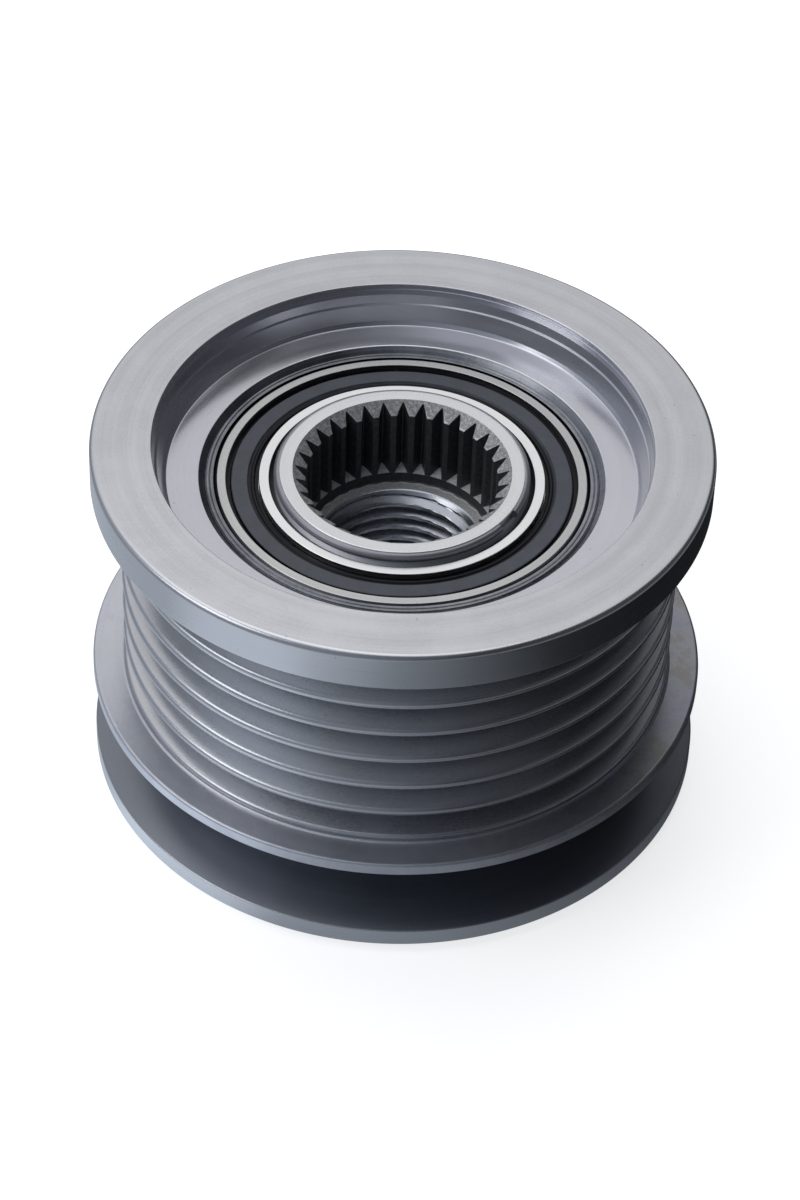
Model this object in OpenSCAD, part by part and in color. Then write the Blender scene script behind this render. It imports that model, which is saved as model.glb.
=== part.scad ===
// Overrunning alternator pulley, in millimetres.
// Z runs along the axis towards the front rim. The origin is the centre of the hub's rear seating face.
// The ribbed pulley runs on two sealed ball bearings. A roller clutch between them lets the pulley
// turn only one way on the hub.

/* [Pulley outside] */
// Radius of the front rim
rim_r = 30.3; // [29.5:0.1:32]
// Height of the front rim's side
rim_t = 4.0; // [3:0.1:5]
// Height of the sloped underside of the front rim
rim_slope_h = 1.16; // [0.8:0.01:1.5]
// Bevel on the front rim's outer edge
rim_bevel = 0.5; // [0.2:0.05:0.9]
// Radius over the crests of the ribs
crest_r = 27.5; // [27.2:0.1:28.5]
// Distance from one rib to the next
rib_pitch = 3.56; // [3.4:0.01:3.8]
// Number of V grooves
groove_count = 6; // [4:1:8]
// Depth of each V groove
groove_depth = 2.9; // [2:0.1:3]
// Angle between the walls of a V groove
groove_angle = 40; // [34:1:44]
// Width of the flat on top of each rib
crest_flat = 0.7; // [0.5:0.05:0.9]
// Bevel on each edge of a rib's crest
crest_bevel = 0.1; // [0.05:0.01:0.2]
// Radius of the middle flange
mid_flange_r = 30.65; // [29.5:0.05:32]
// Thickness of the middle flange
mid_flange_t = 1.26; // [1:0.02:2]
// Bevel on the edges of the middle flange
mid_flange_bevel = 0.25; // [0.1:0.05:0.4]
// Width of the plain groove behind the middle flange, at its mouth
rear_groove_w = 8.1; // [7:0.1:9]
// Radius of the floor of the plain groove
rear_groove_r = 24.4; // [23.5:0.1:26]
// Slope of each wall of the plain groove
rear_groove_slope = 20; // [15:1:24]
// Radius of the rear flange
rear_flange_r = 30.6; // [29.5:0.1:32]
// Thickness of the rear flange at its edge
rear_flange_t = 2.0; // [1.5:0.1:3]
// Bevel on the edges of the rear flange
rear_flange_bevel = 0.3; // [0.1:0.05:0.6]

/* [Pulley recesses] */
// Depth from the front rim to the front bearing
front_inset = 4.69; // [4.2:0.01:6]
// Radius of the front recess at its mouth
recess_r = 24.3; // [24:0.1:25]
// Height of the straight wall at the recess mouth
recess_wall_h = 1.6; // [1.2:0.1:2.2]
// Step inwards below the straight wall
recess_step = 0.65; // [0.4:0.05:0.9]
// Radius of the recess floor at its outer edge
floor_outer_r = 22.7; // [22:0.1:23]
// Radius of the recess floor at its inner edge
floor_inner_r = 19.83; // [19.6:0.01:20.2]
// Height of the recess floor above the front bearing
floor_rise = 0.4; // [0.2:0.05:0.6]
// Radius of the staked lip over each bearing, at its bore
lip_r = 18.34; // [18.2:0.01:18.4]
// Width of the staked lip
lip_w = 0.76; // [0.5:0.01:1]
// Depth of the V channel round the staked lip
channel_depth = 0.2; // [0.1:0.05:0.4]
// Depth from the rear flange to the rear bearing
rear_inset = 2.5; // [2.2:0.1:4]
// Radius of the rear recess
rear_recess_r = 21.2; // [20.5:0.1:22]
// Thickness of the shoulder that the rear bearing stops against
shoulder_t = 1.0; // [0.8:0.1:1.5]
// Radius inside that shoulder
shoulder_r = 17.4; // [17:0.1:17.6]

/* [Bearings] */
// Bore radius of each bearing
bearing_bore_r = 12.5; // [12.5:0.1:12.8]
// Outer radius of each bearing
bearing_outer_r = 18.5; // [18.4:0.1:18.8]
// Width of each bearing
bearing_w = 7.0; // [6.8:0.1:8]
// Bevel on the corners of the bearing rings
ring_bevel = 0.5; // [0.3:0.05:0.6]
// Number of balls in each bearing
ball_count = 14; // [10:1:14]
// Radius of the balls
ball_r = 1.75; // [1.6:0.05:1.8]
// Radius of the circle that the ball centres run on
ball_orbit_r = 15.5; // [15.4:0.05:15.6]
// Gap between a ball and each raceway
ball_gap = 0.05; // [0.05:0.01:0.08]
// Gap between a ball and its cage pocket
pocket_gap = 0.1; // [0.06:0.01:0.15]
// Height of the raceway shoulders above the raceway floor
raceway_depth = 0.55; // [0.4:0.05:0.7]
// Radial width of a bearing cage
cage_w = 1.3; // [1:0.1:1.5]
// Thickness of a bearing cage below its pockets
cage_base_t = 0.4; // [0.3:0.05:0.5]
// Width of each finger between two cage pockets
finger_w = 0.7; // [0.5:0.05:0.9]
// Height of the fingers above the middle of the balls
finger_h = 1.05; // [0.8:0.05:1.2]
// Depth of the gap between two fingers, below the middle of the balls
finger_gap_depth = 0.9; // [0.6:0.05:1.1]

/* [Bearing seals] */
// Radial width of the inner ring's face
inner_face_w = 1.44; // [1.3:0.01:1.5]
// Radial width of the outer ring's face
outer_face_w = 1.33; // [1.2:0.01:1.4]
// Depth of a seal's face below the ring faces
seal_inset = 0.33; // [0.2:0.01:0.4]
// Thickness of a seal
seal_t = 0.75; // [0.6:0.05:0.8]
// Width of the gap between a seal's flat face and the outer ring
seal_air_w = 0.55; // [0.4:0.01:0.7]
// Radial width of a seal's flat face
seal_face_w = 1.69; // [1.5:0.01:1.8]
// Depth of the snap groove behind the outer ring's mouth
seal_snap = 0.2; // [0.15:0.01:0.3]
// Thickness of a seal's snapped edge and of its lip
seal_edge_t = 0.4; // [0.3:0.05:0.5]
// Gap between a seal's lip and the inner ring
lip_gap = 0.05; // [0.05:0.01:0.1]

/* [Hub] */
// Height of the hub's rear face behind the rear flange
hub_proud = 1.0; // [0.5:0.1:2]
// Radius of the hub's rear collar
collar_r = 14.0; // [13.5:0.1:14.5]
// Bevel on the edges of the rear collar
collar_bevel = 0.5; // [0.3:0.1:0.8]
// Height of the hub's nose above the front bearing
nose_h = 0.97; // [0.95:0.01:1.5]
// Radius of the hub's nose
nose_r = 12.0; // [11.8:0.05:12.1]
// Bevel on the edge of the hub's nose
nose_bevel = 0.15; // [0.1:0.01:0.2]
// Radius of the bore that centres the hub on a shaft
pilot_r = 8.5; // [8.4:0.05:9]
// Depth of that bore
pilot_len = 11.0; // [9:0.5:13]
// Bevel at the mouth of that bore
pilot_bevel = 1.0; // [0.5:0.1:1.3]
// Minor radius of the M16 x 1.5 thread
thread_minor_r = 7.19; // [7.1:0.01:7.3]
// Radius at the wide end of the thread's lead-in
lead_in_r = 8.25; // [8.1:0.05:8.4]
// Radius of the relief between the thread and the spline
relief_r = 9.35; // [9.2:0.05:9.35]
// Length of that relief
relief_len = 1.75; // [0.8:0.05:2]

/* [Drive spline] */
// Number of spline teeth
spline_teeth = 33; // [28:1:36]
// Radius at the tips of the teeth
spline_tip_r = 9.4; // [9.2:0.05:9.6]
// Radius at the roots of the teeth
spline_root_r = 10.45; // [10.2:0.05:10.5]
// Depth of the spline from the nose face
spline_len = 8; // [6:0.25:10]
// Width of the flat on the tip of each tooth
tip_flat = 0.56; // [0.4:0.02:0.6]
// Width of the flat at the bottom of each tooth space
root_flat = 0.12; // [0.08:0.02:0.3]
// Turn of the spline's first gap from the right, in degrees
spline_turn = 3.5; // [0:0.5:10.5]
// Radius of the spline's lead-in at the nose face
spline_mouth_r = 10.67; // [10.6:0.01:10.9]
// Depth of the spline's lead-in
spline_mouth_h = 1.07; // [0.8:0.01:1.3]

/* [Hub snap ring] */
// Radius of the snap ring's wire
wire_r = 0.45; // [0.35:0.01:0.47]
// Radius of the circle along the middle of the wire
wire_orbit_r = 12.05; // [12:0.01:12.1]
// Gap between the wire and its groove
wire_gap = 0.03; // [0.02:0.01:0.06]
// Angle of the gap between the snap ring's ends
snap_ring_opening = 12; // [6:1:30]
// Direction of that gap
snap_ring_turn = -32; // [-180:1:180]

/* [Roller clutch] */
// Wall of the clutch sleeve
sleeve_wall = 1.4; // [1.2:0.1:1.6]
// Radius of the pulley's bore round the sleeve
sleeve_outer_r = 18.0; // [17.9:0.1:18.1]
// Number of clutch rollers
roller_count = 8; // [5:1:8]
// Radius of the rollers
roller_r = 1.5; // [1.3:0.05:1.55]
// Length of the rollers
roller_len = 11.0; // [9:0.5:12]
// Wedge angle between a cam flat and the sleeve at a roller
wedge_angle = 5; // [4:0.5:6]
// Gap round a roller where it runs
roller_gap = 0.05; // [0.05:0.01:0.08]
// Gap between the clutch cage and what it fits on
clutch_cage_gap = 0.08; // [0.05:0.01:0.12]
// Gap between the clutch cage and the sleeve
clutch_cage_air = 0.25; // [0.2:0.05:0.35]
// Thickness of the clutch cage's end rings
end_ring_t = 1.8; // [1.2:0.1:2]
// Width of the pocket for a roller and its spring
clutch_pocket_w = 6.2; // [6:0.1:6.5]
// Thickness of the spring leaf
leaf_t = 0.15; // [0.12:0.01:0.2]
// Length of the springs along the axis
spring_len = 8.0; // [6:0.5:10]
// Height of the folds of a spring
spring_h = 1.5; // [1.2:0.1:1.6]
// Number of folds of a spring
spring_folds = 3; // [2:1:3]

/* [Hidden] */
$fn = 96;
eps = 0.01;
through = 100;
SIDES = ["front", "rear"];

// Heights along the outside of the pulley, from the rear flange to the rim
pulley_z = hub_proud;
rear_groove_z = pulley_z + rear_flange_t;
mid_flange_z = rear_groove_z + rear_groove_w;
ribs_z = mid_flange_z + mid_flange_t;
ribs_end_z = ribs_z + groove_count * rib_pitch + crest_flat;
rim_side_z = ribs_end_z + rim_slope_h;
rim_z = rim_side_z + rim_t;

// Heights along the inside, from the rear bearing to the nose
rear_bearing_z = pulley_z + rear_inset;
shoulder_z = rear_bearing_z + bearing_w;
sleeve_z = shoulder_z + shoulder_t;
front_bearing_z = rim_z - front_inset - bearing_w;
front_face_z = front_bearing_z + bearing_w;
nose_z = front_face_z + nose_h;
spline_z = nose_z - spline_len;
relief_z = spline_z - relief_len;
lead_in_z = relief_z - (lead_in_r - thread_minor_r);

// Radii that follow from the sizes above, with the raceways a little wider than the balls
seal_land_r = bearing_bore_r + inner_face_w;
seal_mouth_r = bearing_outer_r - outer_face_w;
seal_face_r = seal_mouth_r - seal_air_w;
seal_step_r = seal_face_r - seal_face_w;
inner_race_r = ball_orbit_r - ball_r - ball_gap;
outer_race_r = ball_orbit_r + ball_r + ball_gap;
inner_shoulder_r = inner_race_r + raceway_depth;
outer_shoulder_r = outer_race_r - raceway_depth;
sleeve_inner_r = sleeve_outer_r - sleeve_wall;
roller_orbit_r = sleeve_inner_r - roller_r - roller_gap;
cam_flat_r = roller_orbit_r * cos(wedge_angle) - roller_r - roller_gap;
cam_ring_z = shoulder_z;
cam_ring_len = front_bearing_z - shoulder_z;
clutch_mid_z = (sleeve_z + front_bearing_z) / 2;
clutch_cage_len = roller_len + 2 * (clutch_cage_gap + end_ring_t);
clutch_cage_r = sleeve_inner_r - clutch_cage_air;
// A roller sits this far along its cam flat from the flat's middle, on the side where it wedges.
roller_shift = roller_orbit_r * sin(wedge_angle);
roller_height = roller_orbit_r * cos(wedge_angle);

function bearing_z(side) = side == "front" ? front_bearing_z : rear_bearing_z;
function turned(r, a) = [r * cos(a), r * sin(a)];

// The six grooved ribs as half of a cross-section, from the middle flange to the rim
function groove_points(z) =
    let (
        slope = tan(groove_angle / 2),
        mouth = rib_pitch - crest_flat,
        floor_half = mouth / 2 - groove_depth * slope,
        middle = z + crest_flat + mouth / 2,
        edge = mouth / 2 + crest_bevel
    )
    [
        [crest_r, middle - edge],
        [crest_r - crest_bevel, middle - mouth / 2 + crest_bevel * slope],
        [crest_r - groove_depth, middle - floor_half],
        [crest_r - groove_depth, middle + floor_half],
        [crest_r - crest_bevel, middle + mouth / 2 - crest_bevel * slope],
        [crest_r, middle + edge]
    ];

function rib_points() =
    [for (i = [0 : groove_count - 1]) each groove_points(ribs_z + i * rib_pitch)];

function pulley_outside() =
    let (
        wall_in = (rear_flange_r - rear_groove_r) * tan(rear_groove_slope),
        b = rear_flange_bevel,
        m = mid_flange_bevel
    )
    concat(
        [
            [rear_flange_r - b, pulley_z],
            [rear_flange_r, pulley_z + b],
            [rear_flange_r, rear_groove_z],
            [rear_groove_r, rear_groove_z + wall_in],
            [rear_groove_r, mid_flange_z - wall_in],
            [mid_flange_r, mid_flange_z],
            [mid_flange_r, ribs_z - m],
            [mid_flange_r - m, ribs_z],
            [crest_r, ribs_z]
        ],
        rib_points(),
        [
            [crest_r, ribs_end_z],
            [rim_r, rim_side_z],
            [rim_r, rim_z - rim_bevel],
            [rim_r - rim_bevel, rim_z]
        ]
    );

function front_recess_points() =
    let (
        floor_z = front_face_z + floor_rise,
        wall_z = rim_z - recess_wall_h,
        channel_r = lip_r + lip_w
    )
    [
        [recess_r, rim_z],
        [recess_r, wall_z],
        [recess_r - recess_step, wall_z - recess_step],
        [floor_outer_r + floor_rise, floor_z + 2 * floor_rise],
        [floor_outer_r, floor_z + floor_rise / 2],
        [floor_outer_r - floor_rise, floor_z],
        [floor_inner_r, floor_z],
        [channel_r, front_face_z - channel_depth],
        [channel_r, front_face_z],
        [lip_r, front_face_z]
    ];

function bore_points() =
    let (catch = bearing_outer_r - lip_r)
    [
        [bearing_outer_r, front_face_z - ring_bevel + catch / 2],
        [bearing_outer_r, front_bearing_z],
        [sleeve_outer_r, front_bearing_z],
        [sleeve_outer_r, sleeve_z],
        [shoulder_r, sleeve_z],
        [shoulder_r, shoulder_z],
        [bearing_outer_r, shoulder_z],
        [bearing_outer_r, rear_bearing_z + ring_bevel - catch / 2],
        [lip_r, rear_bearing_z],
        [lip_r + lip_w, rear_bearing_z],
        [lip_r + lip_w, rear_bearing_z + channel_depth],
        [floor_inner_r, rear_bearing_z - floor_rise],
        [rear_recess_r, rear_bearing_z - floor_rise],
        [rear_recess_r, pulley_z + rear_flange_bevel],
        [rear_recess_r + rear_flange_bevel, pulley_z]
    ];

module pulley_body() {
    color("lightsteelblue")
        rotate_extrude()
            polygon(concat(pulley_outside(), front_recess_points(), bore_points()));
}

// The socket between the spline teeth, as seen along the axis
function spline_points() =
    let (
        pitch = 360 / spline_teeth,
        root_a = asin(root_flat / 2 / spline_root_r),
        tip_a = pitch / 2 - asin(tip_flat / 2 / spline_tip_r)
    )
    [
        for (i = [0 : spline_teeth - 1])
            each [
                turned(spline_tip_r, spline_turn + i * pitch - tip_a),
                turned(spline_root_r, spline_turn + i * pitch - root_a),
                turned(spline_root_r, spline_turn + i * pitch + root_a),
                turned(spline_tip_r, spline_turn + i * pitch + tip_a)
            ]
    ];

function hub_points() =
    [
        [thread_minor_r, pilot_len],
        [pilot_r, pilot_len],
        [pilot_r, pilot_bevel],
        [pilot_r + pilot_bevel, 0],
        [collar_r - collar_bevel, 0],
        [collar_r, collar_bevel],
        [collar_r, rear_bearing_z],
        [bearing_bore_r, rear_bearing_z],
        [bearing_bore_r, front_face_z - ring_bevel],
        [nose_r, front_face_z],
        [nose_r, nose_z - nose_bevel],
        [nose_r - nose_bevel, nose_z],
        [relief_r, nose_z],
        [relief_r, relief_z],
        [lead_in_r, relief_z],
        [thread_minor_r, lead_in_z]
    ];

// The cone at the spline's mouth runs on past the tooth tips, so that it cuts them cleanly.
module spline_lead_in() {
    slope = (spline_mouth_r - spline_tip_r) / spline_mouth_h;
    run_on = tip_flat / slope;
    translate([0, 0, nose_z - spline_mouth_h - run_on])
        cylinder(
            h = spline_mouth_h + run_on + eps,
            r1 = spline_tip_r - tip_flat,
            r2 = spline_mouth_r + eps * slope
        );
}

module hub() {
    color("silver")
        difference() {
            rotate_extrude() polygon(hub_points());
            translate([0, 0, spline_z]) linear_extrude(spline_len + eps) polygon(spline_points());
            spline_lead_in();
            translate([0, 0, front_face_z + wire_r])
                rotate_extrude() translate([wire_orbit_r, 0]) circle(wire_r + wire_gap);
        }
}

module hub_snap_ring() {
    color("gray")
        translate([0, 0, front_face_z + wire_r])
            rotate([0, 0, snap_ring_turn + snap_ring_opening / 2])
                rotate_extrude(angle = 360 - snap_ring_opening)
                    translate([wire_orbit_r, 0]) circle(wire_r);
}

// A bearing's own axis starts at its lower face, and both faces are alike.
function outer_ring_half(mirrored) =
    let (
        edge = seal_inset + seal_t,
        points = [
            [bearing_outer_r, bearing_w - ring_bevel],
            [bearing_outer_r - ring_bevel, bearing_w],
            [seal_mouth_r, bearing_w],
            [seal_mouth_r, bearing_w - edge + seal_edge_t],
            [seal_mouth_r + seal_snap, bearing_w - edge + seal_edge_t],
            [seal_mouth_r + seal_snap, bearing_w - edge],
            [outer_shoulder_r, bearing_w - edge]
        ],
        last = len(points) - 1
    )
    mirrored ? [for (i = [last : -1 : 0]) [points[i][0], bearing_w - points[i][1]]] : points;

function inner_ring_half(mirrored) =
    let (
        edge = seal_inset + seal_t + lip_gap,
        points = [
            [inner_shoulder_r, bearing_w - edge],
            [seal_land_r, bearing_w - edge],
            [seal_land_r, bearing_w],
            [bearing_bore_r + ring_bevel, bearing_w],
            [bearing_bore_r, bearing_w - ring_bevel]
        ],
        last = len(points) - 1
    )
    mirrored ? [for (i = [last : -1 : 0]) [points[i][0], bearing_w - points[i][1]]] : points;

module raceway() {
    translate([0, 0, bearing_w / 2])
        rotate_extrude() translate([ball_orbit_r, 0]) circle(ball_r + ball_gap);
}

module outer_ring(side) {
    color("gainsboro")
        translate([0, 0, bearing_z(side)])
            difference() {
                rotate_extrude() polygon(concat(outer_ring_half(false), outer_ring_half(true)));
                raceway();
            }
}

module inner_ring(side) {
    color("gainsboro")
        translate([0, 0, bearing_z(side)])
            difference() {
                rotate_extrude() polygon(concat(inner_ring_half(false), inner_ring_half(true)));
                raceway();
            }
}

// A seal snaps into the outer ring, and its lip runs round the inner ring.
function seal_points() =
    let (
        face = bearing_w - seal_inset,
        back = face - seal_t,
        edge_r = seal_mouth_r + seal_snap - lip_gap
    )
    [
        [edge_r, back + lip_gap],
        [edge_r, back + seal_edge_t - lip_gap],
        [seal_face_r, back + seal_edge_t],
        [seal_face_r, face],
        [seal_step_r, face],
        [seal_step_r - seal_edge_t / 2, back + seal_edge_t],
        [seal_land_r + lip_gap, back + seal_edge_t],
        [seal_land_r + lip_gap, back + lip_gap],
        [seal_step_r, back + lip_gap]
    ];

module seal(side, far) {
    color("slategray")
        translate([0, 0, bearing_z(side) + (far ? bearing_w : 0)])
            mirror([0, 0, far ? 1 : 0])
                rotate_extrude() polygon(seal_points());
}

function ball_place(i) = [each turned(ball_orbit_r, i * 360 / ball_count), bearing_w / 2];

module ball(side, i) {
    color("white")
        translate([0, 0, bearing_z(side)])
            translate(ball_place(i)) sphere(ball_r);
}

// A one-piece cage: a ring under the balls, with two fingers that close round each ball.
module ball_cage(side) {
    pocket_r = ball_r + pocket_gap;
    base_z = bearing_w / 2 - pocket_r - cage_base_t;
    top_z = bearing_w / 2 + finger_h;
    gap_w = 2 * ball_orbit_r * sin(180 / ball_count) - 2 * (pocket_r + finger_w);
    color("peru")
        translate([0, 0, bearing_z(side)])
            difference() {
                translate([0, 0, base_z])
                    difference() {
                        cylinder(h = top_z - base_z, r = ball_orbit_r + cage_w / 2);
                        translate([0, 0, -eps])
                            cylinder(h = top_z - base_z + 2 * eps, r = ball_orbit_r - cage_w / 2);
                    }
                for (i = [1 : ball_count]) {
                    translate(ball_place(i)) sphere(pocket_r);
                    rotate([0, 0, (i + 0.5) * 360 / ball_count])
                        translate([ball_orbit_r - cage_w, -gap_w / 2, bearing_w / 2 - finger_gap_depth])
                            cube([2 * cage_w, gap_w, through]);
                }
            }
}

module clutch_sleeve() {
    color("silver")
        translate([0, 0, sleeve_z])
            difference() {
                cylinder(h = front_bearing_z - sleeve_z, r = sleeve_outer_r);
                translate([0, 0, -eps]) cylinder(h = through, r = sleeve_inner_r);
            }
}

// The flats round the clutch. A corner points between two flats, so the first flat faces +X.
module cam_outline(grow) {
    rotate([0, 0, 180 / roller_count])
        circle((cam_flat_r + grow) / cos(180 / roller_count), $fn = roller_count);
}

module clutch_cam_ring() {
    color("silver")
        translate([0, 0, cam_ring_z])
            difference() {
                linear_extrude(cam_ring_len) cam_outline(0);
                translate([0, 0, -eps]) cylinder(h = through, r = bearing_bore_r);
            }
}

// Where a roller's pocket starts and ends along its flat, from the flat's middle
pocket_start = -roller_shift - roller_r - clutch_cage_gap;
pocket_end = pocket_start + clutch_pocket_w;

module clutch_cage() {
    color("darkkhaki")
        translate([0, 0, clutch_mid_z - clutch_cage_len / 2])
            difference() {
                cylinder(h = clutch_cage_len, r = clutch_cage_r);
                translate([0, 0, -eps]) linear_extrude(through) cam_outline(clutch_cage_gap);
                for (i = [1 : roller_count])
                    rotate([0, 0, i * 360 / roller_count])
                        translate([0, pocket_start, end_ring_t])
                            cube([through, clutch_pocket_w, roller_len + 2 * clutch_cage_gap]);
            }
}

module clutch_roller(i) {
    color("white")
        rotate([0, 0, i * 360 / roller_count])
            translate([roller_height, -roller_shift, clutch_mid_z - roller_len / 2])
                cylinder(h = roller_len, r = roller_r);
}

// A leaf folded back and forth between the roller and the cage, drawn as a zigzag with round bends
module leaf(a, b) {
    across = b - a;
    length = norm(across);
    translate(a) rotate(atan2(across[1], across[0])) translate([0, -leaf_t / 2]) square([length, leaf_t]);
    translate(a) circle(leaf_t / 2);
    translate(b) circle(leaf_t / 2);
}

module clutch_spring(i) {
    start = -roller_shift + roller_r + roller_gap + leaf_t / 2 + eps;
    end = pocket_end - clutch_cage_gap - leaf_t / 2;
    low = roller_height - spring_h / 2;
    step = (end - start) / (2 * spring_folds);
    bends = [for (k = [0 : 2 * spring_folds]) [low + (k % 2) * spring_h, start + k * step]];
    color("lightgray")
        rotate([0, 0, i * 360 / roller_count])
            translate([0, 0, clutch_mid_z - spring_len / 2])
                linear_extrude(spring_len)
                    for (k = [1 : len(bends) - 1]) leaf(bends[k - 1], bends[k]);
}

pulley_body();
hub();
hub_snap_ring();
for (s = SIDES) {
    outer_ring(s);
    inner_ring(s);
    ball_cage(s);
    seal(s, s == "rear");
    seal(s, s == "front");
}
clutch_sleeve();
clutch_cam_ring();
clutch_cage();
for (s = SIDES)
    for (i = [1 : ball_count])
        ball(s, i);
for (i = [1 : roller_count]) {
    clutch_roller(i);
    clutch_spring(i);
}
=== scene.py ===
"""Overrunning alternator pulley: turned steel pulley, sealed bearing, splined and threaded hub."""

from math import asin, atan2, cos, degrees, hypot, pi, radians, sin, tan, tau

import bmesh
import bpy
from mathutils import Matrix, Vector


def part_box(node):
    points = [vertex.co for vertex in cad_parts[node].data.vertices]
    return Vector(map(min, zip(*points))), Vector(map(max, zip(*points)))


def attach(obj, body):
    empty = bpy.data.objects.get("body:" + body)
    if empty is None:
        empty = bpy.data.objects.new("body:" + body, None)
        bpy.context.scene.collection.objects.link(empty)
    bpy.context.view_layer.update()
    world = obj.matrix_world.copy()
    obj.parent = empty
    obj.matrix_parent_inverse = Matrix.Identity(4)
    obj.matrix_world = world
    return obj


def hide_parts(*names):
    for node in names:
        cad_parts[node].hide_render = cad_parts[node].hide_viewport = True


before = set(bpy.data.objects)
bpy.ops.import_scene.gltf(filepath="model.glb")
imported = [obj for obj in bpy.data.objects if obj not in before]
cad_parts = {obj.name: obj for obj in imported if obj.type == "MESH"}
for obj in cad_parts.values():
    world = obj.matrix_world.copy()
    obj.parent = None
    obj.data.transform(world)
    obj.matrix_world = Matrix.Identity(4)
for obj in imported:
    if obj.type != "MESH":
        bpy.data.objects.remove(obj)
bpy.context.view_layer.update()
MM = 0.001


def top_of(node):
    """Height of a node's highest point, in millimetres."""
    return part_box(node)[1].z / MM


def foot_of(node):
    """Height of a node's lowest point, in millimetres."""
    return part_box(node)[0].z / MM


def radius_of(node):
    """Outer radius of a round node, in millimetres."""
    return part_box(node)[1].x / MM


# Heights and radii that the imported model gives
rim_z = top_of("pulley_body")
pulley_z = foot_of("pulley_body")
front_face_z = top_of("front_outer_ring")
front_bearing_z = foot_of("front_outer_ring")
rear_shoulder_z = top_of("rear_outer_ring")
rear_bearing_z = foot_of("rear_outer_ring")
sleeve_z = foot_of("clutch_sleeve")
nose_z = top_of("hub")
bearing_w = front_face_z - front_bearing_z
bearing_r = radius_of("front_outer_ring")
sleeve_r = radius_of("clutch_sleeve")
mid_flange_r = radius_of("pulley_body") - 0.01
collar_r = radius_of("hub")

# Sizes of the pulley's turned outline, in millimetres
rim_r = 30.3
rim_slope_h = 1.16
rim_bevel = 0.5
crest_r = 27.5
rib_pitch = 3.56
groove_count = 6
groove_depth = 2.9
groove_half_angle = radians(20)
crest_flat = 0.7
crest_round = 0.45
root_round = 0.4
rear_flange_r = 30.6
rear_flange_t = 2.0
rear_groove_w = 8.1
rear_groove_r = 24.4
rear_groove_slope = radians(20)
mid_flange_t = 1.26
soft_corner = 0.12

# Front recess and staked lips
recess_r = 24.3
recess_wall_h = 1.6
recess_step = 0.65
recess_foot_r = 23.13
recess_bend_h = 1.3
wall_groove_h = 0.45
wall_groove_w = 0.22
wall_groove_depth = 0.08
wall_groove_side = 0.05
fine_corner = 0.04
lip_groove_r = 18.75
lip_groove_w = 0.16
lip_groove_depth = 0.09
lip_groove_corner = 0.03
floor_inner_r = 19.83
floor_rise = 0.4
lip_r = 18.34
lip_w = 0.76
channel_depth = 0.2
stake_w = 0.08
rear_recess_r = 21.2
shoulder_r = 17.4

# Bearing rings and seals
bore_r = 12.5
ring_bevel = 0.5
ball_orbit_r = 15.5
race_r = 1.8
outer_shoulder_r = 16.75
inner_shoulder_r = 14.25
seal_mouth_r = 17.17
seal_land_r = 13.94
seal_inset = 0.33
seal_t = 0.75
seal_snap = 0.2
seal_edge_t = 0.4
seal_face_r = 16.62
seal_step_r = 14.93
seal_dip = 0.22
seal_bead_drop = 0.08
lip_gap = 0.05
track_steps = 14

# Hub, spline and thread
nose_r = 12.0
nose_bevel = 0.15
pilot_r = 8.5
pilot_len = 11.0
pilot_bevel = 1.0
collar_bevel = 0.5
spline_teeth = 33
spline_tip_r = 9.4
spline_root_r = 10.45
spline_len = 8.0
spline_mouth_r = 10.67
spline_mouth_h = 1.07
tip_flat = 0.56
root_flat = 0.12
spline_turn = radians(3.5)
relief_r = 9.35
relief_len = 1.75
gap_floor_drop = 0.5
lead_in_r = 8.25
thread_minor_r = 7.19
thread_major_r = 8.0
thread_pitch = 1.5
thread_shift = 0.27
# Width of the painted highlight strip at the foot of the mouth's bevel
burr_highlight_w = 0.11
thread_crest = 0.25
thread_root = 0.875
thread_row = 0.06
thread_seen = 5.0
mouth_rows = 5
ledge_wave = 0.07
ledge_lip = 0.26
ledge_h = 0.2
thread_foot = 0.4
wire_shoulder = 0.25
wire_r = 0.45
wire_orbit_r = 12.05
wire_gap = 0.03
wire_around = 16
wire_along = 260
snap_ring_opening = radians(12)
snap_ring_turn = radians(-32)


# Fineness of the turned meshes, and the angle from which an edge is sharp
ring_segments = 288
pulley_segments = 384
sharp_edge = radians(32)
hub_sharp_edge = radians(28)
packed_sharp_edge = radians(30)


# Outlines and turned meshes


def rounded(points, closed=True, steps=5):
    """An outline of (radius, height, corner radius) points, with each corner as an arc."""
    out = []
    count = len(points)
    for i, point in enumerate(points):
        here = Vector(point[:2])
        size = point[2] if len(point) > 2 else 0
        if size <= 0 or (not closed and i in (0, count - 1)):
            out.append(here)
            continue
        before = Vector(points[i - 1][:2])
        after = Vector(points[(i + 1) % count][:2])
        back = (before - here).normalized()
        on = (after - here).normalized()
        turn = back.angle(on)
        if abs(turn - pi) < 0.02:
            out.append(here)
            continue
        reach = size / tan(turn / 2)
        reach = min(reach, 0.45 * (before - here).length, 0.45 * (after - here).length)
        size = reach * tan(turn / 2)
        centre = here + (back + on).normalized() * (size / sin(turn / 2))
        start = here + back * reach
        end = here + on * reach
        out.append(start + back * reach * 0.15)
        a0 = atan2(start.y - centre.y, start.x - centre.x)
        a1 = atan2(end.y - centre.y, end.x - centre.x)
        sweep = (a1 - a0 + pi) % tau - pi
        for k in range(steps + 1):
            a = a0 + sweep * k / steps
            out.append(centre + Vector((cos(a), sin(a))) * size)
        out.append(end + on * reach * 0.15)
    return out


def arc(centre, size, start, end, steps=10):
    """Points along a round stretch of an outline, angles in degrees."""
    return [
        (
            centre[0] + size * cos(radians(start + (end - start) * k / steps)),
            centre[1] + size * sin(radians(start + (end - start) * k / steps)),
        )
        for k in range(steps + 1)
    ]


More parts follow.
